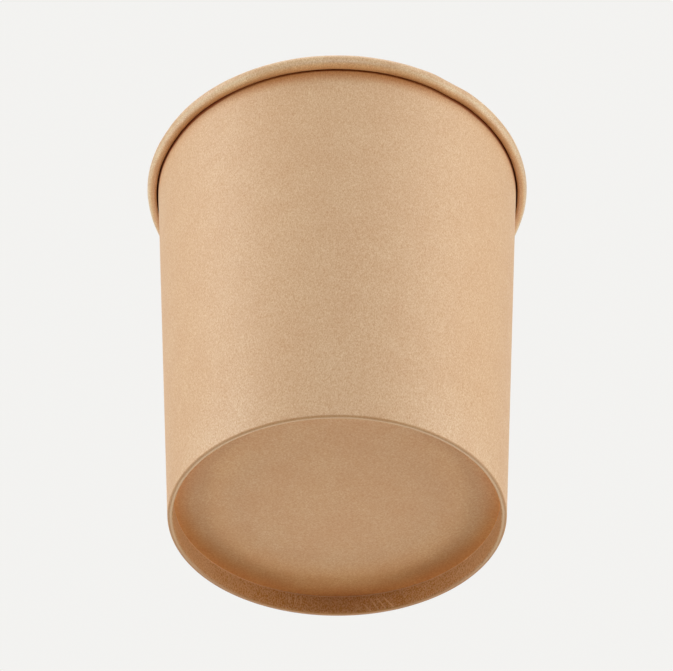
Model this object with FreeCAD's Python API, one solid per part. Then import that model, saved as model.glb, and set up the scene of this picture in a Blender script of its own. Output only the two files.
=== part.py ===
import FreeCAD, Part
import math
import os

from FreeCAD import Vector

# Paper soup container, in millimetres. +Z points up to the open mouth. The origin is at the centre of the
# foot, on the plane that the container stands on.
#
# It is made of two pieces of board. One curved blank is wound into a tapered side wall: its two ends overlap
# in a glued seam, its top is rolled outwards into a rim, and its foot is folded in and up. The other is a
# drawn disc with a turned-down skirt, which the folded foot grips.
#
# Sections are drawn in the plane y = 0 as (radius, height) points and turned about the Z axis.

# Overall sizes.
HEIGHT = 123.8  # foot to the top of the rolled rim
MOUTH_DIAMETER = 115.0  # over the rolled rim
FOOT_DIAMETER = 92.0  # outside of the wall at the foot
WALL_BOARD = 0.5  # thickness of the wall's board
DISC_BOARD = 0.45  # thickness of the disc's board

# Rolled rim.
ROLL_DIAMETER = 3.75  # outside of the roll's section
ROLL_GAP = 0.2  # between the roll's end and the wall

# Lapped side seam.
SEAM_AZIMUTH = 70.0  # degrees from +X round to the middle of the lap
LAP_WIDTH = 8.0  # where the two ends of the blank overlap, measured at the foot
RAMP_WIDTH = 7.0  # over which the outer end comes down beside the inner one
RAMP_STEPS = 2  # stretches of that ramp

# Folded foot and the disc that it holds.
RECESS_DEPTH = 6.0  # foot to the underside of the disc
FLAP_GAP = 0.3  # between the top of the folded flap and the disc
FOLD_RADIUS = 0.55  # rounding of the fold on each side of its flat
SKIRT_CLEARANCE = 0.03  # on each side of the disc's skirt
SKIRT_REST_GAP = 0.3  # between the skirt's edge and the bottom of the fold
DISC_BEND_RADIUS = 0.5  # under the disc, where it turns down into its skirt

# Flat bands that make up each stretch of a bend.
ROLL_BANDS = (4, 4, 6)  # the roll's outside, from the wall to its top, to its side, to its end
HOLLOW_BANDS = (5,)  # inside the roll
SMALL_BANDS = (1,)  # each corner of the foot's fold and of the disc

AXIS_POINT = Vector(0, 0, 0)
AXIS = Vector(0, 0, 1)
FULL_TURN = 360.0

# Lengths and angles that follow from the sizes.
FOOT_RADIUS = FOOT_DIAMETER / 2
ROLL_RADIUS = ROLL_DIAMETER / 2
ROLL_CENTRE = (MOUTH_DIAMETER / 2 - ROLL_RADIUS, HEIGHT - ROLL_RADIUS)
LAP_ANGLE = math.degrees(LAP_WIDTH / FOOT_RADIUS)
RAMP_ANGLE = math.degrees(RAMP_WIDTH / FOOT_RADIUS)
LAP_START = SEAM_AZIMUTH - LAP_ANGLE / 2
LAP_END = SEAM_AZIMUTH + LAP_ANGLE / 2
FLAP_TOP = RECESS_DEPTH - FLAP_GAP


def wall_taper():
    """Angle of the wall off the axis, in radians: its inner face runs into the roll without a corner."""
    out = ROLL_CENTRE[0] - FOOT_RADIUS
    up = ROLL_CENTRE[1]
    return math.atan2(out, up) - math.asin((ROLL_RADIUS - WALL_BOARD) / math.hypot(out, up))


TAPER = wall_taper()
OFF_WALL = -math.degrees(TAPER)  # direction square out of the wall, in a section
INTO_WALL = OFF_WALL + 180.0  # and the way back into it


def face_radius(offset, height):
    """Radius, at a height, of the line that lies offset outside the wall's outer face."""
    return FOOT_RADIUS + (offset + height * math.sin(TAPER)) / math.cos(TAPER)


def bend(centre, radius, angles, bands):
    """Points round a bend, at each of the angles in degrees and between them for so many flat bands."""
    turns = [angles[0]]
    for start, end, count in zip(angles, angles[1:], bands):
        turns += [start + (end - start) * step / count for step in range(1, count + 1)]
    radians = [math.radians(turn) for turn in turns]
    return [(centre[0] + radius * math.cos(a), centre[1] + radius * math.sin(a)) for a in radians]


def rolled_rim(inner_lift, outer_lift):
    """Points of the roll, from the wall's inner face over the top and back to its outer face."""
    hollow_radius = ROLL_RADIUS - WALL_BOARD - outer_lift
    end = INTO_WALL - FULL_TURN + math.degrees(math.acos((hollow_radius - ROLL_GAP) / ROLL_RADIUS))
    outside = bend(ROLL_CENTRE, ROLL_RADIUS - inner_lift, [INTO_WALL, 90, 0, end], ROLL_BANDS)
    return outside + bend(ROLL_CENTRE, hollow_radius, [end, INTO_WALL], HOLLOW_BANDS)


def folded_foot(inner_lift, outer_lift):
    """Points of the fold, from the wall's outer face under the foot, up the upright flap and back down."""
    skirt_side = face_radius(-WALL_BOARD, WALL_BOARD) - DISC_BOARD - 2 * SKIRT_CLEARANCE
    axis_side = skirt_side - WALL_BOARD - outer_lift
    outer_centre = (face_radius(outer_lift - FOLD_RADIUS, FOLD_RADIUS), FOLD_RADIUS)
    inner_centre = (axis_side + FOLD_RADIUS, FOLD_RADIUS)
    fold = bend(outer_centre, FOLD_RADIUS, [OFF_WALL, -90], SMALL_BANDS)
    fold += bend(inner_centre, FOLD_RADIUS, [-90, -180], SMALL_BANDS)
    return fold + [
        (axis_side, FLAP_TOP),
        (skirt_side - inner_lift, FLAP_TOP),
        (skirt_side - inner_lift, WALL_BOARD),
        (face_radius(inner_lift - WALL_BOARD, WALL_BOARD), WALL_BOARD),
    ]


def closed_wire(points):
    """The closed outline through the points of a section."""
    return Part.makePolygon([Vector(radius, 0, height) for radius, height in points + points[:1]])


def wall_section(inner_lift, outer_lift):
    """Section of the side wall, with its faces lifted off the place of a single ply at the seam."""
    return closed_wire(rolled_rim(inner_lift, outer_lift) + folded_foot(inner_lift, outer_lift))


def turned(section, start, end):
    """The solid that a section sweeps between two azimuths in degrees."""
    return Part.Face(section).rotated(AXIS_POINT, AXIS, start).revolve(AXIS_POINT, AXIS, end - start)


def seam_ramp():
    """The stretch where the blank's outer end comes down to the line of the wall, beside the lap."""
    sections = []
    for step in range(RAMP_STEPS + 1):
        share = step / RAMP_STEPS
        lift = WALL_BOARD * (1 + math.cos(math.pi * share)) / 2
        azimuth = LAP_END + RAMP_ANGLE * share
        sections.append(wall_section(lift, lift).rotated(AXIS_POINT, AXIS, azimuth))
    return Part.makeLoft(sections, True, True)


def side_wall():
    """The wound blank with its rolled rim, folded foot and lapped seam."""
    single = turned(wall_section(0, 0), LAP_END + RAMP_ANGLE, LAP_START + FULL_TURN)
    lap = turned(wall_section(0, WALL_BOARD), LAP_START, LAP_END)
    return single.fuse([lap, seam_ramp()]).removeSplitter()


def base_disc():
    """The drawn disc, with the skirt that stands in the folded foot."""
    skirt_outside = -WALL_BOARD - SKIRT_CLEARANCE
    skirt_inside = skirt_outside - DISC_BOARD
    skirt_edge = WALL_BOARD + SKIRT_REST_GAP
    bend_height = RECESS_DEPTH - DISC_BEND_RADIUS
    bend_centre = (face_radius(skirt_inside - DISC_BEND_RADIUS, bend_height), bend_height)
    underside = bend(bend_centre, DISC_BEND_RADIUS, [90, OFF_WALL], SMALL_BANDS)
    upper_side = bend(bend_centre, DISC_BEND_RADIUS + DISC_BOARD, [OFF_WALL, 90], SMALL_BANDS)
    skirt = [(face_radius(skirt_inside, skirt_edge), skirt_edge)]
    skirt += [(face_radius(skirt_outside, skirt_edge), skirt_edge)]
    centre = [(0, RECESS_DEPTH + DISC_BOARD), (0, RECESS_DEPTH)]
    return turned(closed_wire(underside + skirt + upper_side + centre), 0, FULL_TURN)


def main():
    """Write each piece of the container to its own file."""
    os.makedirs("parts", exist_ok=True)
    side_wall().exportStep("parts/side_wall.step")
    base_disc().exportStep("parts/base_disc.step")


main()
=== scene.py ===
"""A kraft paper soup tub: its fine side wall and base disc, their finishes, the studio and the camera."""

import logging
import math
from dataclasses import dataclass
from enum import Enum, auto
from functools import partial
from typing import Any, Callable, Iterable, Sequence

import bpy
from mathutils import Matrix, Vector


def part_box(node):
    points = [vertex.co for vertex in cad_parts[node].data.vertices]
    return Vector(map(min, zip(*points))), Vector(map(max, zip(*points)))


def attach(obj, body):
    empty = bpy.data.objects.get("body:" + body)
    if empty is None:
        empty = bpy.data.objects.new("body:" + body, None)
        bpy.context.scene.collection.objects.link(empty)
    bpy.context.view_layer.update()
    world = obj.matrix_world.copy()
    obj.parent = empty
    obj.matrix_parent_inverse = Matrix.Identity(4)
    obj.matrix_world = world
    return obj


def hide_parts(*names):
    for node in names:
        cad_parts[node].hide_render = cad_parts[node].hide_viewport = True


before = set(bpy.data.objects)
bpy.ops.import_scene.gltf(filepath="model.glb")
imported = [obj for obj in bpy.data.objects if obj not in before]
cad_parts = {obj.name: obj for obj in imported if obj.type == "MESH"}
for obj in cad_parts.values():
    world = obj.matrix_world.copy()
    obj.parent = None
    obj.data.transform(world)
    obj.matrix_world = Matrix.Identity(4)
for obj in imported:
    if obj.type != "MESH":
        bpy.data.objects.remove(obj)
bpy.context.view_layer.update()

logging.basicConfig(level=logging.INFO, format="%(message)s")
log = logging.getLogger("soup_tub")

MM = 0.001
ROOT_BODY = "root"
AXIS_UP = (0.0, 0.0, 1.0)
AXIS_DOWN = (0.0, 0.0, -1.0)
MERGE_WITHIN = 0.002 * MM
SAME_PLACE = 0.01 * MM
SAME_HEIGHT = 0.001 * MM
SAME_TURN = 0.01  # degrees
SHADE_ANGLE = math.radians(38)  # faces that meet at less than this are shaded as one
EDGE_ANGLE = math.radians(60)  # edges sharper than this are rounded
FRAME_WIDTH = 36.0  # the camera's frame, in millimetres
BACKDROP = (0.896, 0.891, 0.874)
MIX_COLOURS = (6, 7)  # a Mix node's sockets for two colours
MIX_RESULT = 2  # and for their blend

Colour = tuple[float, float, float]
Place = tuple[float, float, float]
Spot = tuple[float, float]  # a radius and a height, or an azimuth in degrees and a height
Span = tuple[float, float]  # where something starts and where it ends
Section = tuple[float, float, float]  # a ply's lift, its lift in the foot and its roll's turn in degrees
Chains = tuple[str, str]  # two vertex groups
Value = Any  # a node's socket, or the constant that a socket takes


class Board(Enum):
    """The record's two board slots."""

    WALL = "wall_board"
    DISC = "disc_board"


class Face(Enum):
    """The sides of a board, in the order of a piece's material slots."""

    OUTER = 0
    INNER = 1
    CUT = 2


def polar(radius: float, azimuth: float, height: float) -> Vector:
    """A place given by its radius, its azimuth in degrees and its height."""
    turn = math.radians(azimuth)
    return Vector((radius * math.cos(turn), radius * math.sin(turn), height))


def turned(spot: Spot, centre: Spot, angle: float) -> Spot:
    """A spot in a section after a turn from the outward direction towards the upright one.

    Args:
        spot: the radius and height before.
        centre: the radius and height of the turn's centre.
        angle: the turn in radians.

    Returns:
        The radius and height after.
    """
    out = spot[0] - centre[0]
    up = spot[1] - centre[1]
    cosine = math.cos(angle)
    sine = math.sin(angle)
    return centre[0] + out * cosine - up * sine, centre[1] + out * sine + up * cosine


def azimuth_of(place: Vector) -> float:
    """The azimuth of a place in degrees, from -180 to 180."""
    return math.degrees(math.atan2(place.y, place.x))


def turn_between(azimuth: float, other: float) -> float:
    """The shortest turn in degrees from one azimuth to another."""
    return (other - azimuth + 180.0) % 360.0 - 180.0


def is_near(spot: Vector, place: Vector) -> bool:
    """Whether two places are the same, for selecting a vertex."""
    return (place - spot).length < SAME_PLACE


def only(piece: bpy.types.Object) -> None:
    """Selects one piece and makes it the active one."""
    bpy.ops.object.select_all(action="DESELECT")
    piece.select_set(True)
    bpy.context.view_layer.objects.active = piece


def name_piece(piece: bpy.types.Object, name: str) -> None:
    """Names a piece and its mesh."""
    piece.name = name
    piece.data.name = name


def edit(piece: bpy.types.Object) -> None:
    """Starts editing a piece by its vertices, with none selected.

    Args:
        piece: the piece.
    """
    only(piece)
    bpy.ops.object.mode_set(mode="EDIT")
    bpy.ops.mesh.select_mode(type="VERT")
    bpy.ops.mesh.select_all(action="DESELECT")


def done() -> None:
    """Ends editing, which brings the mesh's data up to date."""
    bpy.ops.object.mode_set(mode="OBJECT")


def group_selected(piece: bpy.types.Object, name: str) -> None:
    """Keeps the selected vertices of the piece being edited as a vertex group."""
    bpy.ops.object.vertex_group_assign_new()
    piece.vertex_groups[-1].name = name


def select_where(piece: bpy.types.Object, wanted: Callable[[Vector], bool]) -> int:
    """Selects the vertices of the piece being edited whose place is wanted.

    Args:
        piece: the piece, in edit mode.
        wanted: says whether a vertex at a place is to be selected.

    Returns:
        The number of vertices selected.
    """
    bpy.ops.mesh.select_mode(type="VERT")
    bpy.ops.mesh.select_all(action="DESELECT")
    done()
    count = 0
    for vertex in piece.data.vertices:
        vertex.select = wanted(vertex.co)
        count += vertex.select
    bpy.ops.object.mode_set(mode="EDIT")
    return count


def start_point(name: str, place: Vector) -> bpy.types.Object:
    """Starts a piece as a single vertex.

    Args:
        name: the piece's name.
        place: where the vertex is.

    Returns:
        The piece, in edit mode, with its vertex selected.
    """
    bpy.ops.object.select_all(action="DESELECT")
    bpy.ops.mesh.primitive_plane_add(size=MM, location=place)
    piece = bpy.context.object
    name_piece(piece, name)
    bpy.ops.object.transform_apply(location=True, rotation=True, scale=True)
    bpy.ops.object.mode_set(mode="EDIT")
    bpy.ops.mesh.select_mode(type="VERT")
    bpy.ops.mesh.select_all(action="SELECT")
    bpy.ops.mesh.merge(type="CENTER")
    return piece


def push_near(push: Vector, reach: float) -> None:
    """Moves the selected vertices, and those within reach of them less and less."""
    bpy.ops.transform.translate(
        value=push,
        use_proportional_edit=True,
        proportional_edit_falloff="SMOOTH",
        proportional_size=reach,
    )


def apply_modifier(piece: bpy.types.Object, kind: str, settings: dict[str, Any]) -> None:
    """Adds a modifier to a piece, sets it and applies it.

    Args:
        piece: the piece.
        kind: the modifier's type.
        settings: the values of its properties.
    """
    only(piece)
    modifier = piece.modifiers.new(kind.title(), kind)
    for key, value in settings.items():
        setattr(modifier, key, value)
    bpy.ops.object.modifier_apply(modifier=modifier.name)


def thicken(piece: bpy.types.Object, board: float, edge_round: float) -> None:
    """Gives a sheet its board's thickness behind its outer face, with slightly rounded cut edges.

    Args:
        piece: the sheet, whose faces point out of the board's outer face.
        board: the board's thickness.
        edge_round: the width of the rounding along the cut edges.
    """
    wall = {
        "thickness": board,
        "offset": -1.0,
        "material_offset": Face.INNER.value,
        "material_offset_rim": Face.CUT.value,
    }
    for _ in Face:
        piece.data.materials.append(None)
    apply_modifier(piece, "SOLIDIFY", wall)
    rounding = {"width": edge_round, "segments": 2, "limit_method": "ANGLE", "angle_limit": EDGE_ANGLE}
    apply_modifier(piece, "BEVEL", rounding)
    only(piece)
    bpy.ops.object.shade_smooth_by_angle(angle=SHADE_ANGLE)


def triangles(piece: bpy.types.Object) -> int:
    """The number of triangles in a piece."""
    return sum(len(polygon.vertices) - 2 for polygon in piece.data.polygons)


def face_outwards(piece: bpy.types.Object) -> None:
    """Merges a sheet's doubles and turns its faces away from the axis, before it has any thickness.

    Args:
        piece: the sheet.
    """
    edit(piece)
    bpy.ops.mesh.select_all(action="SELECT")
    bpy.ops.mesh.remove_doubles(threshold=MERGE_WITHIN)
    bpy.ops.mesh.normals_make_consistent(inside=False)
    done()
    outward = sum(face.area * face.normal.dot(face.center) for face in piece.data.polygons)
    if outward < 0:
        edit(piece)
        bpy.ops.mesh.select_all(action="SELECT")
        bpy.ops.mesh.flip_normals()
        done()


@dataclass(frozen=True)
class Bend:
    """One arc of a board's outline in its section: its centre, its turn in degrees and the faces along it."""

    centre: Spot
    turn: float
    steps: int


@dataclass(frozen=True)
class Run:
    """One straight run of a board's outline in its section: its end and the faces along it."""

    end: Spot
    rows: int


@dataclass(frozen=True)
class Dent:
    """A place where the rolled rim was pushed in: its azimuth in degrees, how far it reaches, its depth."""

    azimuth: float
    reach: float
    depth: float


@dataclass(frozen=True)
class Pucker:
    """A small ridge in the folded foot's flap: its two ends, each an azimuth and a height, and its depth."""

    low: Spot
    high: Spot
    depth: float


@dataclass
class SideWall:
    """The side wall: one blank of board wound round with a lap, rolled at the rim, folded at the foot."""

    height: float
    rim_radius: float
    foot_radius: float = 46.0 * MM
    board: float = 0.5 * MM
    edge_round: float = 0.05 * MM

    roll_radius: float = 1.875 * MM
    roll_gap: float = 0.5 * MM  # between the roll's end and the wall
    roll_stretch: float = 1.2  # how much taller than wide the roll becomes
    roll_reach: float = 2.2  # how far down the roll is looked for, in roll radii
    roll_waves: float = 0.2 * MM
    wave_length: float = 11.0 * MM
    wave_middle: float = 0.3  # 0 would only move the roll outwards, 1 only inwards
    dents: tuple[Dent, ...] = ()

    fold_radius: float = 0.55 * MM
    flap_top: float = 5.9 * MM
    disc_board: float = 0.45 * MM
    clearance: float = 0.03 * MM  # on each side of the disc's skirt
    puckers: tuple[Pucker, ...] = ()
    flap_slack: float = 0.1 * MM  # how far out of its place the flap is still looked for
    ridge_width: float = 0.17 * MM
    ridge_reach: float = 0.45 * MM
    # the painted highlight along the flap's ridges
    ridge_highlight_width: float = 0.24 * MM
    ridge_highlight_depth: float = 0.1 * MM  # the depth at which a ridge takes its full painted highlight

    # The lap, with its azimuths in degrees.
    tuck_start: float = 60.0  # where the inner end starts to go under
    lap_start: float = 65.02
    lap_end: float = 74.98
    ramp_end: float = 83.70  # where the outer end is back on the wall's line
    butt_gap: float = 0.03
    ply_gap: float = 0.01 * MM
    foot_lift: float = 0.03 * MM  # how far the outer ply still stands out where the foot is pressed
    pressed_to: float = 3.6 * MM
    notch_top: float = 6.2 * MM
    notch_slack: float = 0.1 * MM

    flap_rows: int = 18
    flat_rows: int = 2
    foot_rows: int = 4
    wall_rows: int = 13
    fold_steps: int = 8
    roll_steps: int = 32
    lap_columns: int = 44
    ramp_columns: int = 26
    tuck_columns: int = 8
    plain_columns: tuple[tuple[float, int], ...] = ((102.0, 12), (112.0, 40))  # fine where the puckers are
    round_columns: int = 205

    @property
    def roll_centre(self) -> Spot:
        """The radius and height of the roll's centre."""
        return self.rim_radius - self.roll_radius, self.height - self.roll_radius

    @property
    def taper(self) -> float:
        """The wall's lean from upright, which brings it up tangent to the roll.

        Returns:
            The lean in radians.
        """
        out = self.roll_centre[0] - self.foot_radius
        up = self.roll_centre[1]
        reach = self.roll_radius - self.board
        return math.atan2(out, up) - math.asin(reach / math.hypot(out, up))

    def face_radius(self, offset: float, height: float) -> float:
        """The radius at a height of a line parallel to the wall's outer face.

        Args:
            offset: how far outside the outer face the line runs.
            height: the height above the floor.

        Returns:
            The radius there.
        """
        return self.foot_radius + (offset + height * math.sin(self.taper)) / math.cos(self.taper)

    def roll_turn(self, lift: float) -> float:
        """How far round the roll goes before it meets the wall under it, in degrees.

        Args:
            lift: how far the wall under the roll's end stands outside its usual place.

        Returns:
            The turn.
        """
        room = self.roll_radius - self.board - lift - self.roll_gap
        return 360.0 - math.degrees(math.acos(room / self.roll_radius))

    def outline(self, lift: float, foot_lift: float, turn: float) -> list[Bend | Run]:
        """The outer face of the blank in section, from the flap's top round to the roll's end.

        Args:
            lift: how far the ply stands outside its usual place.
            foot_lift: how far it does so in the foot, where it is pressed flatter.
            turn: how far round the roll goes, in degrees.

        Returns:
            The runs and bends, in order.
        """
        lean = math.degrees(self.taper)
        low = self.fold_radius
        flap = self.flap_radius(foot_lift)
        outer_centre = (self.face_radius(foot_lift - low, low), low)
        roll_face = self.roll_radius - self.board - lift
        roll_start = (
            self.roll_centre[0] - roll_face * math.cos(self.taper),
            self.roll_centre[1] + roll_face * math.sin(self.taper),
        )
        return [
            Run((flap, low), self.flap_rows),
            Bend((flap + low, low), 90.0, self.fold_steps),
            Run((outer_centre[0], 0.0), self.flat_rows),
            Bend(outer_centre, 90.0 - lean, self.fold_steps),
            Run((self.face_radius(foot_lift, self.pressed_to), self.pressed_to), self.foot_rows),
            Run((self.face_radius(lift, self.notch_top), self.notch_top), self.foot_rows),
            Run(roll_start, self.wall_rows),
            Bend(self.roll_centre, -turn, self.roll_steps),
        ]

    def flap_radius(self, lift: float) -> float:
        """The radius of the flap's face towards the axis."""
        skirt = self.face_radius(-self.board, self.board) - self.disc_board - 2 * self.clearance
        return skirt - self.board - lift

    def draw_section(self, name: str, azimuth: float, section: Section) -> bpy.types.Object:
        """Draws the blank's outer face in section as one chain of edges.

        Args:
            name: the chain's name.
            azimuth: where the section stands, in degrees.
            section: the section.

        Returns:
            The new object, in edit mode, with the whole chain selected.
        """
        out = polar(1.0, azimuth, 0.0)
        axis = Vector(AXIS_UP).cross(out)
        _, foot_lift, _ = section
        here = (self.flap_radius(foot_lift), self.flap_top)
        piece = start_point(name, out * here[0] + Vector((0, 0, here[1])))
        for part in self.outline(*section):
            if isinstance(part, Run):
                step = out * (part.end[0] - here[0]) / part.rows
                step.z = (part.end[1] - here[1]) / part.rows
                for _ in range(part.rows):
                    bpy.ops.mesh.extrude_vertices_move(TRANSFORM_OT_translate={"value": step})
                here = part.end
            else:
                centre = out * part.centre[0] + Vector((0, 0, part.centre[1]))
                angle = math.radians(part.turn)
                bpy.ops.mesh.spin(steps=part.steps, angle=angle, center=centre, axis=axis)
                here = turned(here, part.centre, angle)
        bpy.ops.mesh.select_all(action="SELECT")
        return piece

    def wind(
        self, name: str, start: float, stretches: Iterable[tuple[float, int]], section: Section
    ) -> bpy.types.Object:
        """Draws a section and winds it round the axis in stretches.

        Args:
            name: the sheet's name, which its two end chains' vertex groups take.
            start: the azimuth where it starts, in degrees.
            stretches: for each stretch the azimuth where it ends and the number of columns in it.
            section: the section.

        Returns:
            The sheet, in object mode.
        """
        sheet = self.draw_section(name, start, section)
        here = start
        for end, columns in stretches:
            angle = math.radians(end - here)
            bpy.ops.mesh.spin(steps=columns, angle=angle, center=(0, 0, 0), axis=AXIS_DOWN)
            here = end
        group_selected(sheet, f"{name} end")
        select_where(sheet, lambda place: abs(turn_between(start, azimuth_of(place))) < SAME_TURN)
        group_selected(sheet, f"{name} start")
        done()
        return sheet

    def station(self, name: str, azimuth: float, section: Section) -> bpy.types.Object:
        """Draws one section by itself, between two that differ.

        Args:
            name: the chain's name, which its vertex group takes.
            azimuth: where the section stands, in degrees.
            section: the section.

        Returns:
            The chain, in object mode.
        """
        chain = self.draw_section(name, azimuth, section)
        group_selected(chain, name)
        done()
        return chain

    def shift(
        self, chains: Chains, azimuths: tuple[float, float], sections: tuple[Section, Section], columns: int
    ) -> tuple[list[bpy.types.Object], list[Chains]]:
        """Draws the stations that turn one section smoothly into another.

        Args:
            chains: the vertex groups of the two end chains.
            azimuths: where the two end chains stand, in degrees.
            sections: the two end sections.
            columns: the number of columns of faces between the end chains.

        Returns:
            The stations' objects and the pairs of vertex groups to bridge.
        """
        names = [f"{chains[0]} {step}" for step in range(1, columns)]
        stations = []
        for step, name in enumerate(names, 1):
            part = step / columns
            eased = 0.5 - 0.5 * math.cos(math.pi * part)
            azimuth = azimuths[0] + (azimuths[1] - azimuths[0]) * part
            section = tuple(before + (after - before) * eased for before, after in zip(*sections))
            stations.append(self.station(name, azimuth, section))
        order = [chains[0], *names, chains[1]]
        return stations, list(zip(order, order[1:]))

    def bridge(self, sheet: bpy.types.Object, chains: Chains) -> None:
        """Bridges two of a sheet's chains with one column of faces.

        Args:
            sheet: the sheet.
            chains: the two chains' vertex groups.
        """
        edit(sheet)
        for chain in chains:
            sheet.vertex_groups.active_index = sheet.vertex_groups[chain].index
            bpy.ops.object.vertex_group_select()
        bpy.ops.mesh.select_mode(type="EDGE")
        bpy.ops.mesh.bridge_edge_loops(type="SINGLE")
        done()

    def wind_blank(self) -> bpy.types.Object:
        """Winds the blank: once round, with its last part tucked under its first.

        Returns:
            The blank's outer face as one sheet.
        """
        lift = self.board + self.ply_gap
        plain = (0.0, 0.0, self.roll_turn(0.0))
        under = (0.0, 0.0, self.roll_turn(lift))
        over = (lift, self.foot_lift, self.roll_turn(lift))
        start = self.lap_start + self.butt_gap
        once_round = [*self.plain_columns, (self.tuck_start + 360.0, self.round_columns)]
        sheets = [
            self.wind("round", self.ramp_end, once_round, plain),
            self.wind("under", self.lap_start, [(self.lap_end, self.lap_columns)], under),
            self.wind("over", start, [(self.lap_end, self.lap_columns)], over),
        ]
        blank, tucked, _ = sheets
        under_ply = tucked.vertex_groups.new(name="under ply")
        under_ply.add(range(len(tucked.data.vertices)), 1.0, "REPLACE")
        ramp, ramp_chains = self.shift(
            ("over end", "round start"), (self.lap_end, self.ramp_end), (over, plain), self.ramp_columns
        )
        tuck, tuck_chains = self.shift(
            ("round end", "under start"), (self.tuck_start, self.lap_start), (plain, under), self.tuck_columns
        )
        only(blank)
        for part in [*sheets, *ramp, *tuck]:
            part.select_set(True)
        bpy.ops.object.join()
        for chains in [*ramp_chains, *tuck_chains]:
            self.bridge(blank, chains)
        return blank

    def notch(self, blank: bpy.types.Object) -> None:
        """Cuts the tucked corner away at the foot, so that the fold is a single ply all round.

        Args:
            blank: the blank's outer face.
        """
        edit(blank)
        group = blank.vertex_groups["under ply"].index
        done()
        for vertex in blank.data.vertices:
            tucked = any(entry.group == group for entry in vertex.groups)
            vertex.select = tucked and vertex.co.z < self.notch_top + self.notch_slack
        bpy.ops.object.mode_set(mode="EDIT")
        bpy.ops.mesh.select_mode(type="FACE")
        bpy.ops.mesh.delete(type="FACE")
        done()

    def shape_roll(self, blank: bpy.types.Object) -> None:
        """Makes the rolled rim slightly taller than wide and uneven, and pushes its dents in.

        Args:
            blank: the blank's outer face.
        """
        edit(blank)
        roll_foot = self.height - self.roll_reach * self.roll_radius
        select_where(blank, lambda place: place.z > roll_foot)
        group_selected(blank, "roll")
        bpy.ops.mesh.hide(unselected=True)
        bpy.ops.transform.resize(value=(1.0, 1.0, self.roll_stretch), center_override=(0.0, 0.0, self.height))
        done()
        bpy.ops.object.mode_set(mode="EDIT")
        for dent in self.dents:
            spot = polar(self.rim_radius - self.board, dent.azimuth, self.roll_centre[1])
            near = min(blank.data.vertices, key=lambda vertex: (vertex.co - spot).length).co.copy()
            select_where(blank, partial(is_near, near))
            push_near(polar(-dent.depth, dent.azimuth, 0.0), dent.reach)
        bpy.ops.mesh.reveal(select=False)
        done()
        waves = bpy.data.textures.new("roll_waves", "CLOUDS")
        waves.noise_scale = self.wave_length
        unevenness = {
            "texture": waves,
            "vertex_group": "roll",
            "strength": self.roll_waves,
            "mid_level": self.wave_middle,
        }
        apply_modifier(blank, "DISPLACE", unevenness)

    def on_flap(self, place: Vector) -> bool:
        """Whether a place is on the folded flap."""
        return place.xy.length < self.flap_radius(0.0) + self.flap_slack

    def off_ridge(self, pucker: Pucker, place: Vector) -> float:
        """Measures how far a place on the flap is from a pucker's ridge line.

        Args:
            pucker: the pucker.
            place: the place.

        Returns:
            The distance.
        """
        low = polar(self.flap_radius(0.0), *pucker.low)
        high = polar(self.flap_radius(0.0), *pucker.high)
        along = high - low
        part = max(0.0, min(1.0, (place - low).dot(along) / along.length_squared))
        return (place - low - along * part).length

    def on_ridge(self, pucker: Pucker, place: Vector) -> bool:
        """Whether a place is on a pucker's ridge."""
        return self.on_flap(place) and self.off_ridge(pucker, place) < self.ridge_width

    def ridge_highlight_at(self, place: Vector) -> float:
        """How much painted highlight the ridges give a place on the flap: 0 off every ridge."""
        ridge_highlight = [
            pucker.depth / self.ridge_highlight_depth * (1.0 - self.off_ridge(pucker, place) / self.ridge_highlight_width)
            for pucker in self.puckers
        ]
        return max([0.0, *ridge_highlight])

    def pucker_flap(self, blank: bpy.types.Object) -> None:
        """Raises the small ridges that the fold pressed into the flap and notes where they take a painted
        highlight.

        Args:
            blank: the blank's outer face.
        """
        ridge_highlight = blank.data.attributes.new("ridge_highlight", "FLOAT", "POINT")
        for vertex, entry in zip(blank.data.vertices, ridge_highlight.data):
            if self.on_flap(vertex.co):
                entry.value = self.ridge_highlight_at(vertex.co)
        edit(blank)
        for pucker in self.puckers:
            if select_where(blank, partial(self.on_ridge, pucker)):
                push_near(polar(-pucker.depth, pucker.low[0], 0.0), self.ridge_reach)
        done()

    def build(self) -> bpy.types.Object:
        """Makes the side wall.

        Returns:
            The finished piece.
        """
        blank = self.wind_blank()
        self.notch(blank)
        face_outwards(blank)
        self.shape_roll(blank)
        self.pucker_flap(blank)
        blank.vertex_groups.clear()
        name_piece(blank, "side_wall_board")
        thicken(blank, self.board, self.edge_round)
        return blank


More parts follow.
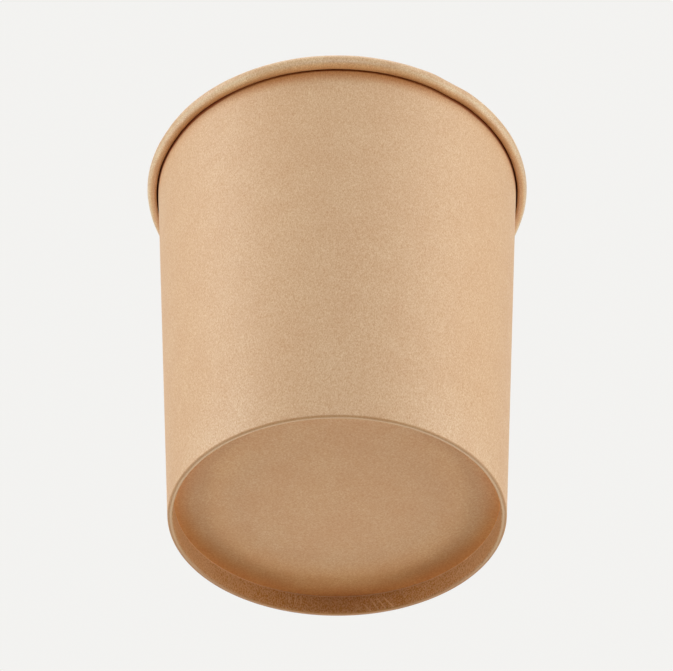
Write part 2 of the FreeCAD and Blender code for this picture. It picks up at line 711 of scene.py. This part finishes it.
@dataclass
class BaseDisc:
    """The base disc: one round of board drawn into a shallow cap, its skirt down inside the wall's foot."""

    top: float
    wall: SideWall
    underside: float = 6.0 * MM
    skirt_edge: float = 1.06 * MM
    bend_radius: float = 0.5 * MM
    bend_steps: int = 6
    rings: int = 12
    columns: int = 180

    def build(self) -> bpy.types.Object:
        """Makes the base disc.

        Returns:
            The finished piece.
        """
        board = self.top - self.underside
        offset = -self.wall.board - self.wall.clearance
        shoulder = self.wall.face_radius(offset, self.top - self.bend_radius)
        hem = self.wall.face_radius(offset, self.skirt_edge)
        bpy.ops.object.select_all(action="DESELECT")
        bpy.ops.mesh.primitive_circle_add(
            vertices=self.columns, radius=hem, fill_type="NGON", location=(0, 0, self.skirt_edge)
        )
        piece = bpy.context.object
        bpy.ops.object.transform_apply(location=True, rotation=True, scale=True)
        edit(piece)
        bpy.ops.mesh.select_mode(type="FACE")
        bpy.ops.mesh.select_all(action="SELECT")
        bpy.ops.mesh.extrude_region_move(
            TRANSFORM_OT_translate={"value": (0, 0, self.top - self.skirt_edge)}
        )
        bpy.ops.transform.resize(value=(shoulder / hem, shoulder / hem, 1.0))
        select_where(piece, lambda place: place.z > self.top - self.bend_radius)
        bpy.ops.mesh.bevel(offset=self.bend_radius, segments=self.bend_steps, affect="EDGES")
        select_where(piece, lambda place: place.z > self.top - SAME_HEIGHT)
        bpy.ops.mesh.select_mode(type="FACE")
        for _ in range(self.rings):
            bpy.ops.mesh.inset(thickness=shoulder / (self.rings + 1))
        bpy.ops.mesh.poke()
        select_where(piece, lambda place: place.z < self.skirt_edge + SAME_HEIGHT)
        bpy.ops.mesh.select_mode(type="FACE")
        bpy.ops.mesh.delete(type="ONLY_FACE")
        done()
        face_outwards(piece)
        name_piece(piece, "base_disc_board")
        thicken(piece, board, self.wall.edge_round)
        return piece


@dataclass(frozen=True)
class Lamp:
    """One soft lamp of the studio."""

    name: str
    place: Place
    power: float
    size: tuple[float, float] = (0.5, 0.5)
    target: Place = (0.0, 0.0, 0.06)

    def hang(self) -> None:
        """Hangs the lamp and turns it to its target."""
        bpy.ops.object.light_add(type="AREA", location=self.place)
        lamp = bpy.context.object
        lamp.name = self.name
        lamp.data.shape = "RECTANGLE"
        lamp.data.size = self.size[0]
        lamp.data.size_y = self.size[1]
        lamp.data.energy = self.power
        aim = Vector(self.target) - Vector(self.place)
        lamp.rotation_euler = aim.to_track_quat("-Z", "Y").to_euler()


class Step(Enum):
    """The way of a value from low to high."""

    SMOOTH = "SMOOTHSTEP"
    EVEN = "LINEAR"


class Nodes:
    """Writes a tree of linked nodes."""

    def __init__(self, tree: bpy.types.NodeTree) -> None:
        """Takes the tree to write in."""
        self.tree = tree

    def add(self, kind: str, inputs: dict[str | int, Value], **settings: Any) -> bpy.types.Node:
        """Adds a node.

        Args:
            kind: the node's type, without its usual first words.
            inputs: for each socket its value, or the socket that feeds it.
            settings: the values of its properties.

        Returns:
            The node.
        """
        node = self.tree.nodes.new("ShaderNode" + kind)
        for key, value in settings.items():
            setattr(node, key, value)
        self.feed(node, inputs)
        return node

    def feed(self, node: bpy.types.Node, inputs: dict[str | int, Value]) -> None:
        """Sets or links a node's sockets."""
        for key, value in inputs.items():
            if isinstance(value, bpy.types.NodeSocket):
                self.tree.links.new(value, node.inputs[key])
            else:
                node.inputs[key].default_value = value

    def fade(
        self, value: Value, span: Span, low: float = 0.0, high: float = 1.0, step: Step = Step.SMOOTH
    ) -> Value:
        """A step of a value, from low at the span's start to high at its end."""
        inputs = {"Value": value, "From Min": span[0], "From Max": span[1], "To Min": low, "To Max": high}
        return self.add("MapRange", inputs, interpolation_type=step.value).outputs["Result"]

    def spread(self, value: Value, low: float, high: float) -> Value:
        """A value from 0 to 1 spread evenly from low to high."""
        return self.fade(value, (0.0, 1.0), low, high, Step.EVEN)

    def math(self, operation: str, first: Value, second: Value) -> Value:
        """The result of an operation on two values."""
        return self.add("Math", {0: first, 1: second}, operation=operation).outputs[0]

    def product(self, first: Value, *others: Value) -> Value:
        """The product of some values."""
        for other in others:
            first = self.math("MULTIPLY", first, other)
        return first

    def length(self, place: Value) -> Value:
        """How far a place is from the origin."""
        return self.add("VectorMath", {0: place}, operation="LENGTH").outputs["Value"]


@dataclass
class Studio:
    """The pale floor and backdrop, the lamps and the camera."""

    lamps: tuple[Lamp, ...]
    camera_place: Place = (0.0, -0.5367, -0.3904)
    camera_tilt: float = 40.39  # degrees up from level
    lens: float = 130.5
    shift: float = -0.0009  # sideways, over the frame's width
    nearest: float = 0.01  # the camera sees nothing nearer
    floor_radius: float = 3.0
    floor_sides: int = 96
    floor_drop: float = 0.4 * MM
    floor_paint: Colour = (0.85, 0.845, 0.83)
    floor_fade: Span = (0.07, 0.24)  # how far out the paint gives way to the backdrop's colour
    floor_paleness: float = 0.4  # the backdrop's share of the floor at the tub

    def set_world(self) -> None:
        """Makes the backdrop. It is seen by the camera and in reflections, and lights nothing."""
        world = bpy.data.worlds.new("studio_backdrop")
        bpy.context.scene.world = world
        world.use_nodes = True
        world.node_tree.nodes.clear()
        nodes = Nodes(world.node_tree)
        path = nodes.add("LightPath", {}).outputs
        seen = nodes.math("MAXIMUM", path["Is Camera Ray"], path["Is Glossy Ray"])
        seen = nodes.math("MAXIMUM", seen, path["Is Transmission Ray"])
        pale = nodes.add("Background", {"Color": (*BACKDROP, 1.0), "Strength": seen})
        nodes.add("OutputWorld", {"Surface": pale.outputs[0]})

    def mix_floor_paint(self) -> bpy.types.Material:
        """Mixes the floor's finish, which is clear from below.

        Returns:
            The material.
        """
        material = bpy.data.materials.new("pale_floor")
        material.use_nodes = True
        material.node_tree.nodes.clear()
        nodes = Nodes(material.node_tree)
        reach = nodes.length(nodes.add("TexCoord", {}).outputs["Object"])
        paleness = nodes.fade(reach, self.floor_fade, low=self.floor_paleness)
        paint = nodes.add("BsdfDiffuse", {"Color": (*self.floor_paint, 1.0)}).outputs[0]
        pale = nodes.add("Emission", {"Color": (*BACKDROP, 1.0)}).outputs[0]
        above = nodes.add("MixShader", {0: paleness, 1: paint, 2: pale}).outputs[0]
        below = nodes.add("BsdfTransparent", {}).outputs[0]
        from_below = nodes.add("NewGeometry", {}).outputs["Backfacing"]
        floor = nodes.add("MixShader", {0: from_below, 1: above, 2: below})
        nodes.add("OutputMaterial", {"Surface": floor.outputs[0]})
        material.cycles.emission_sampling = "NONE"
        return material

    def lay_floor(self) -> None:
        """Lays the floor, which catches the tub's shadow and neither casts one nor lights the tub."""
        place = (0, 0, -self.floor_drop)
        bpy.ops.object.select_all(action="DESELECT")
        bpy.ops.mesh.primitive_circle_add(
            vertices=self.floor_sides, radius=self.floor_radius, fill_type="NGON", location=place
        )
        floor = bpy.context.object
        bpy.ops.object.transform_apply(location=True, rotation=True, scale=True)
        name_piece(floor, "studio_floor")
        floor.data.materials.append(self.mix_floor_paint())
        floor.visible_shadow = False
        floor.visible_diffuse = False

    def set_camera(self) -> None:
        """Stands the camera below the tub and in front of it, looking up at its foot."""
        tilt = math.radians(90.0 + self.camera_tilt)
        bpy.ops.object.camera_add(location=self.camera_place, rotation=(tilt, 0.0, 0.0))
        camera = bpy.context.object
        camera.name = "camera"
        camera.data.lens = self.lens
        camera.data.shift_x = self.shift
        camera.data.sensor_width = FRAME_WIDTH
        camera.data.clip_start = self.nearest
        bpy.context.scene.camera = camera

    def build(self) -> None:
        """Sets up the whole studio."""
        bpy.context.scene.view_settings.view_transform = "Standard"
        self.set_world()
        self.lay_floor()
        for lamp in self.lamps:
            lamp.hang()
        self.set_camera()


class Along(Enum):
    """What a mark on the board fades along."""

    HEIGHT = auto()
    RADIUS = auto()
    STRAYED = auto()  # the radius, strayed by the broad noise
    BACK = auto()  # how far round to the back: -1 at the front, 1 at the back
    MOTTLE = auto()
    # the painted highlight along the flap's ridges
    RIDGE_HIGHLIGHT = auto()


class Laid(Enum):
    """How a mark's colour lies on the board."""

    TINT = "MULTIPLY"
    COVER = "MIX"


@dataclass(frozen=True)
class Fade:
    """A step along one measure of the board, from low at the span's start to high at its end."""

    along: Along
    span: Span
    low: float = 0.0
    high: float = 1.0
    step: Step = Step.SMOOTH

    def share(self, nodes: Nodes, measure: Value) -> Value:
        """How far the fade has come where the measure has a value."""
        return nodes.fade(measure, self.span, self.low, self.high, self.step)


@dataclass(frozen=True)
class Mark:
    """A mark on the board: a colour, laid on as far as the product of its fades says."""

    colour: Colour
    fades: tuple[Fade, ...]
    laid: Laid = Laid.TINT


class Recipe(Nodes):
    """Writes a board's material, and holds the place on the board and the board's noises."""

    def __init__(self, kraft: "Kraft") -> None:
        """Starts a finish's material.

        Args:
            kraft: the finish.
        """
        self.material = bpy.data.materials.new(kraft.name)
        self.material.use_nodes = True
        super().__init__(self.material.node_tree)
        self.shader = self.tree.nodes["Principled BSDF"]
        self.place = self.add("TexCoord", {}).outputs["Object"]
        stretch = {"Vector": self.place, "Scale": (1.0, 1.0, kraft.upright)}
        stretched = self.add("Mapping", stretch).outputs[0]
        self.mottle = self.noise(stretched, kraft.grain, detail=2.0, distortion=0.5)
        self.fibres = self.noise(stretched, kraft.grain * kraft.fibre_grain, detail=3.0, distortion=2.5)
        self.clouds = self.noise(self.place, kraft.cloud_grain, detail=3.0, distortion=0.3)

    def noise(self, place: Value, scale: float, detail: float, distortion: float) -> Value:
        """A noise's value, from 0 to 1, over a place."""
        inputs = {"Vector": place, "Scale": scale, "Detail": detail, "Distortion": distortion}
        return self.add("TexNoise", inputs).outputs["Fac"]

    def blend(self, share: Value, first: Value, second: Value, laid: Laid = Laid.COVER) -> Value:
        """A blend of two colours."""
        node = self.add("Mix", {"Factor": share}, data_type="RGBA", blend_type=laid.value)
        for socket, value in zip(MIX_COLOURS, (first, second)):
            self.feed(node, {socket: (*value, 1.0) if isinstance(value, tuple) else value})
        return node.outputs[MIX_RESULT]


@dataclass(frozen=True)
class Kraft:
    """Kraft board: brown fibres, finely mottled, a little longer up the wall than round it."""

    name: str
    colour: Colour = (0.675, 0.442, 0.249)
    swing: Colour = (0.15, 0.29, 0.38)  # how far the mottle moves each channel either way
    grain: float = 3500.0
    fibre_grain: float = 0.28  # over the grain
    cloud_grain: float = 110.0
    upright: float = 0.55  # the grain up the wall, over the grain round it
    mottle_span: Span = (0.22, 0.78)
    strand_span: Span = (0.3, 0.7)
    cloud_span: Span = (0.25, 0.75)
    strands: float = 0.14  # how much the strongest strand darkens
    clouds: float = 0.12
    roughness: Span = (0.5, 0.64)
    relief: float = 0.025 * MM
    relief_strength: float = 0.6
    strand_relief: float = 0.8  # over the mottle's
    gloss: float = 0.55
    coat: float = 0.0
    coat_roughness: float = 0.42

    def shade(self, share: float) -> Colour:
        """The board's colour moved by a share of its swing."""
        return tuple(base * (1.0 + share * swing) for base, swing in zip(self.colour, self.swing))

    def marks(self) -> list[Mark]:
        """The marks laid on the board's colour, from the first to the last laid on. Plain board has none."""
        return []

    def measures(self, recipe: Recipe) -> dict[Along, Value]:
        """Finds what the marks fade along.

        Args:
            recipe: the material's recipe.

        Returns:
            The value of each measure.
        """
        across, back, height = recipe.add("SeparateXYZ", {0: recipe.place}).outputs
        radius = recipe.length(recipe.add("CombineXYZ", {0: across, 1: back}).outputs[0])
        return {
            Along.HEIGHT: height,
            Along.RADIUS: radius,
            Along.BACK: recipe.math("DIVIDE", back, radius),
            Along.MOTTLE: recipe.mottle,
        }

    def mix(self) -> bpy.types.Material:
        """Mixes the finish.

        Returns:
            The material.
        """
        recipe = Recipe(self)
        fine = recipe.fade(recipe.mottle, self.mottle_span)
        colour = recipe.blend(fine, self.shade(-1.0), self.shade(1.0))
        strands = recipe.fade(recipe.fibres, self.strand_span)
        colour = recipe.blend(recipe.spread(strands, 0.0, self.strands), colour, self.shade(-1.0))
        broad = recipe.fade(recipe.clouds, self.cloud_span)
        colour = recipe.blend(recipe.spread(broad, 0.0, self.clouds), colour, self.shade(-2.0))
        found = self.measures(recipe)
        for mark in self.marks():
            shares = [fade.share(recipe, found[fade.along]) for fade in mark.fades]
            colour = recipe.blend(recipe.product(*shares), colour, mark.colour, mark.laid)
        height = recipe.math("ADD", recipe.mottle, recipe.product(recipe.fibres, self.strand_relief))
        relief = {"Strength": self.relief_strength, "Distance": self.relief, "Height": height}
        sockets = {
            "Base Color": colour,
            "Roughness": recipe.spread(strands, *self.roughness),
            "Normal": recipe.add("Bump", relief).outputs[0],
            "Specular IOR Level": self.gloss,
            "Coat Weight": self.coat,
            "Coat Roughness": self.coat_roughness,
        }
        recipe.feed(recipe.shader, sockets)
        return recipe.material


@dataclass(frozen=True)
class CoatedKraft(Kraft):
    """The wall board's coated inner face, which the roll turns outwards."""

    swing: Colour = (0.19, 0.34, 0.45)
    clouds: float = 0.3
    roughness: Span = (0.42, 0.56)
    relief: float = 0.012 * MM
    gloss: float = 0.45
    coat: float = 0.35
    roll_centre: Spot = (55.625 * MM, 121.55 * MM)
    roll_radius: float = 2.25 * MM  # upright, where the stretched roll is largest
    roll_tint: Colour = (1.0, 1.04, 1.02)
    # painted shade on the roll's underside, deepest towards its end
    painted_shade_roll_underside: Colour = (1.08, 0.91, 0.71)
    painted_shade_roll_end: Colour = (0.95, 0.85, 0.7)
    # a painted highlight along the roll, to both sides of its front
    painted_highlight_roll: Colour = (1.15, 1.31, 1.5)

    def marks(self) -> list[Mark]:
        """Paints shade under the roll and deeper towards its end, and paints a highlight along the roll to
        both sides of its front.

        Returns:
            The marks.
        """
        out, up = self.roll_centre
        foot = up - self.roll_radius
        outside = Fade(Along.RADIUS, (out - 1.7 * MM, out - 1.3 * MM))
        rolled = Fade(Along.HEIGHT, (foot - 0.3 * MM, foot))
        under = Fade(Along.HEIGHT, (up - 1.15 * MM, foot + 0.05 * MM))
        end = Fade(Along.RADIUS, (out - 0.2 * MM, out - 0.8 * MM))
        off_front = Fade(Along.BACK, (-0.98, -0.86))
        below_middle = Fade(Along.HEIGHT, (up - 0.5 * MM, up - 1.2 * MM))
        outermost = Fade(Along.RADIUS, (out + 0.15 * MM, out + 0.95 * MM))
        return [
            Mark(self.roll_tint, (outside, rolled)),
            # painted shade under the roll, deeper towards its end
            Mark(self.painted_shade_roll_underside, (outside, rolled, under)),
            Mark(self.painted_shade_roll_end, (outside, rolled, under, end)),
            # a painted highlight along the roll, off its front
            Mark(self.painted_highlight_roll, (outside, off_front, below_middle, outermost)),
        ]


@dataclass(frozen=True)
class RecessedKraft(Kraft):
    """The disc board's underside, with painted shade deepening its colour towards its edge, next to the flap.
    """

    colour: Colour = (0.78, 0.468, 0.225)
    swing: Colour = (0.1, 0.25, 0.34)
    grain: float = 2200.0
    strands: float = 0.3
    clouds: float = 0.2
    gloss: float = 0.4
    edge_radius: float = 44.5 * MM
    edge_width: float = 6.5 * MM
    # painted light on a ring of the disc, off its front
    painted_light_disc_ring: Colour = (1.12, 1.09, 1.0)
    # a painted shadow on the disc's far part, cast by the far flap
    painted_shadow_disc_far: Colour = (0.96, 0.86, 0.78)
    # painted shade at the disc's edge, next to the flap
    painted_shade_disc_edge: Colour = (1.0, 0.88, 0.7)

    def marks(self) -> list[Mark]:
        """Paints light on a ring of the disc off its front, a shadow on its far part and shade at its edge.

        Returns:
            The marks.
        """
        edge = self.edge_radius
        ring = Fade(Along.RADIUS, (0.58 * edge, 0.84 * edge))
        off_front = Fade(Along.BACK, (-1.0, -0.4))
        far = Fade(Along.RADIUS, (0.62 * edge, 0.95 * edge))
        at_back = Fade(Along.BACK, (0.3, 0.9))
        return [
            # painted light on a ring of the disc, off its front
            Mark(self.painted_light_disc_ring, (ring, off_front)),
            # a painted shadow on the disc's far part, cast by the far flap
            Mark(self.painted_shadow_disc_far, (far, at_back)),
            # painted shade at the disc's edge, next to the flap
            Mark(self.painted_shade_disc_edge, (Fade(Along.RADIUS, (edge - self.edge_width, edge)),)),
        ]


@dataclass(frozen=True)
class FoldedKraft(Kraft):
    """The wall board's outer face, marked by the fold at its foot, with painted shade under the roll at its
    rim and painted light and shade about its foot and flap.
    """

    gap_height: float = 119.63 * MM  # the foot of the gap behind the roll's end
    # painted shade close under the roll, most of all in front
    painted_shade_under_roll: Colour = (0.78, 0.52, 0.28)
    # painted shade in the gap behind the roll's end
    painted_shade_roll_gap: Colour = (0.78, 0.5, 0.28)
    # a painted dark line of shade just below the gap, off the front
    painted_shade_gap_line: Colour = (0.64, 0.38, 0.26)
    # painted light low on the wall, to both sides of its front
    painted_light_foot_height: float = 22.0 * MM
    painted_light_foot: Colour = (1.04, 1.08, 1.14)
    stray: float = 0.5 * MM  # how far the broad noise strays the crease, from side to side
    crease_radius: float = 45.32 * MM
    crease_height: float = 0.5 * MM
    # the crease's dark line: the board's own crease mark, deepened with painted shade
    crease_and_shade_colour: Colour = (0.55, 0.22, 0.03)
    inner_colour: Colour = (0.88, 0.6, 0.32)
    # painted shade under the fold at the foot, deepest at the back
    painted_shade_fold: Colour = (0.72, 0.55, 0.4)
    flap_radius: float = 44.9 * MM
    flap_top: float = 5.9 * MM  # as the side wall's
    # painted shade on the flap, deepest at the back
    painted_shade_flap: Colour = (0.35, 0.128, 0.008)
    # a painted highlight along the flap's ridges
    painted_highlight_ridges: Colour = (0.75, 0.48, 0.27)
    lip_colour: Colour = (0.78, 0.52, 0.29)

    def measures(self, recipe: Recipe) -> dict[Along, Value]:
        """Finds what the marks fade along, with the strayed radius and the ridges' painted highlight.

        Args:
            recipe: the material's recipe.

        Returns:
            The value of each measure.
        """
        found = super().measures(recipe)
        stray = recipe.product(recipe.math("SUBTRACT", recipe.clouds, 0.5), self.stray)
        found[Along.STRAYED] = recipe.math("ADD", found[Along.RADIUS], stray)
        # the painted highlight along the flap's ridges
        found[Along.RIDGE_HIGHLIGHT] = recipe.add("Attribute", {}, attribute_name="ridge_highlight").outputs["Fac"]
        return found

    def marks(self) -> list[Mark]:
        """The marks of the rim, the foot and the flap."""
        return [*self.rim_marks(), *self.foot_marks(), *self.flap_marks()]

    def rim_marks(self) -> list[Mark]:
        """Paints shade close under the roll, most of all in front, in the gap behind its end, and in a dark
        line below the gap off the front.

        Returns:
            The marks.
        """
        gap = self.gap_height
        close_under = Fade(Along.HEIGHT, (gap - 5.0 * MM, gap - 0.3 * MM))
        more_in_front = Fade(Along.BACK, (-0.72, -0.98), low=0.35)
        in_gap = Fade(Along.HEIGHT, (gap - 0.3 * MM, gap))
        below_gap = Fade(Along.HEIGHT, (gap - 0.75 * MM, gap - 0.3 * MM))
        off_front = Fade(Along.BACK, (-0.97, -0.75))
        return [
            # painted shade close under the roll, most of all in front
            Mark(self.painted_shade_under_roll, (close_under, more_in_front)),
            # painted shade in the gap behind the roll's end
            Mark(self.painted_shade_roll_gap, (in_gap,)),
            # a painted dark line of shade just below the gap, off the front
            Mark(self.painted_shade_gap_line, (below_gap, off_front)),
        ]

    def foot_marks(self) -> list[Mark]:
        """Paints light on the foot to both sides of its front, marks the crease, deepened with painted shade,
        and the line inside it, and paints shade under the fold, deepest at the back.

        Returns:
            The marks.
        """
        low = Fade(Along.HEIGHT, (self.painted_light_foot_height, 0.1 * self.painted_light_foot_height))
        off_front = Fade(Along.BACK, (-0.98, -0.8))
        off_side = Fade(Along.BACK, (-0.3, -0.6))
        under = Fade(Along.HEIGHT, (self.crease_height, 0.3 * self.crease_height))
        inside = self.crease_radius - 0.15 * MM
        outside = self.crease_radius + 0.15 * MM
        crease = Fade(Along.STRAYED, (inside, outside), high=0.4)
        inner = Fade(Along.STRAYED, (outside, inside), high=0.6)
        more_at_back = Fade(Along.BACK, (-0.3, 1.0))
        return [
            # painted light low on the wall, to both sides of its front
            Mark(self.painted_light_foot, (low, off_front, off_side)),
            # the crease's dark line: the board's own crease mark, deepened with painted shade
            Mark(self.crease_and_shade_colour, (under, crease), Laid.COVER),
            Mark(self.inner_colour, (under, inner), Laid.COVER),
            # painted shade under the fold at the foot, deepest at the back
            Mark(self.painted_shade_fold, (under, more_at_back)),
        ]

    def flap_marks(self) -> list[Mark]:
        """Paints shade on the flap, deepest at the back, paints a highlight along its ridges, and pales its
        upper edge.

        Returns:
            The marks.
        """
        top = self.flap_top
        inwards = Fade(Along.STRAYED, (self.flap_radius, self.flap_radius - 0.3 * MM))
        low = Fade(Along.HEIGHT, (top + 2.0 * MM, top))
        mottled = Fade(Along.MOTTLE, self.strand_span, 0.2, 1.2)
        more_at_back = Fade(Along.BACK, (0.4, 1.05), 0.78, 1.06)
        ridges = Fade(Along.RIDGE_HIGHLIGHT, (0.0, 1.0), high=0.9, step=Step.EVEN)
        lip = Fade(Along.HEIGHT, (top - 0.45 * MM, top - 0.1 * MM), high=0.6)
        return [
            # painted shade on the flap, deepest at the back
            Mark(self.painted_shade_flap, (inwards, low, mottled, more_at_back), Laid.COVER),
            # a painted highlight along the flap's ridges
            Mark(self.painted_highlight_ridges, (ridges,), Laid.COVER),
            Mark(self.lip_colour, (inwards, low, lip), Laid.COVER),
        ]


def dress(piece: bpy.types.Object, finishes: Sequence[bpy.types.Material]) -> None:
    """Puts a finish on each side of a piece's board."""
    for face, finish in zip(Face, finishes):
        piece.data.materials[face.value] = finish


DENTS = (
    Dent(-54.0, 7.5 * MM, 0.32 * MM),
    Dent(-152.0, 17.0 * MM, 0.2 * MM),
)
PUCKERS = (
    Pucker((68.9, 0.3 * MM), (72.3, 3.9 * MM), 0.1 * MM),
    Pucker((71.9, 0.3 * MM), (74.9, 4.0 * MM), 0.09 * MM),
    Pucker((74.8, 0.6 * MM), (77.6, 4.2 * MM), 0.09 * MM),
    Pucker((77.5, 0.2 * MM), (79.5, 2.2 * MM), 0.1 * MM),
    Pucker((81.4, 0.8 * MM), (82.8, 3.0 * MM), 0.05 * MM),
    Pucker((103.4, 2.6 * MM), (103.6, 5.2 * MM), 0.05 * MM),
    Pucker((105.5, 3.0 * MM), (105.7, 5.4 * MM), 0.06 * MM),
    Pucker((107.9, 2.4 * MM), (108.0, 5.0 * MM), 0.05 * MM),
)
LAMPS = (
    Lamp("lamp_left_high", (-0.75, -0.3, 0.5), 3.6),
    Lamp("lamp_right_high", (0.75, -0.3, 0.5), 1.7),
    Lamp("lamp_right_front_high", (0.6, -0.6, 0.65), 1.4),
    Lamp("lamp_top", (0.0, -0.2, 0.95), 2.7, (0.8, 0.8)),
    Lamp("lamp_front", (0.0, -1.0, 0.0), 4.4),
    Lamp("lamp_right_front", (0.85, -0.4, 0.06), 1.0, (0.5, 0.9)),
    Lamp("lamp_left_low", (-0.85, 0.1, -0.3), 4.2),
    Lamp("lamp_right_low", (0.85, 0.1, -0.3), 4.3),
    Lamp("lamp_below_back", (0.0, 0.85, -0.35), 3.6, (0.9, 0.4)),
    Lamp("lamp_below_left", (-0.65, -0.1, -0.6), 0.7),
    Lamp("lamp_below_right", (0.65, -0.1, -0.6), 0.6),
)


def build_tub() -> None:
    """Builds the side wall and the base disc in the place of the plain solids."""
    low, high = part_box("side_wall")
    rim_radius = min(high.x, high.y, -low.x, -low.y)
    wall = SideWall(height=high.z, rim_radius=rim_radius, dents=DENTS, puckers=PUCKERS)
    low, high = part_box("base_disc")
    disc = BaseDisc(top=high.z, wall=wall)
    outside = FoldedKraft("kraft_outside").mix()
    inside = CoatedKraft("kraft_coated").mix()
    cut = Kraft("kraft_cut_edge", swing=(0.2, 0.24, 0.3), roughness=(0.75, 0.9), relief=0.04 * MM).mix()
    under = RecessedKraft("kraft_underside").mix()
    parts = (
        (wall, Board.WALL, "side_wall", (outside, inside, cut)),
        (disc, Board.DISC, "base_disc", (inside, under, cut)),
    )
    for part, board, node, finishes in parts:
        piece = part.build()
        dress(piece, finishes)
        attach(piece, ROOT_BODY)
        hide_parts(node)
        log.info("%s: %d triangles", piece.name, triangles(piece))


def main() -> None:
    """Builds the tub and its studio."""
    build_tub()
    Studio(LAMPS).build()


if __name__ == "__main__":
    main()
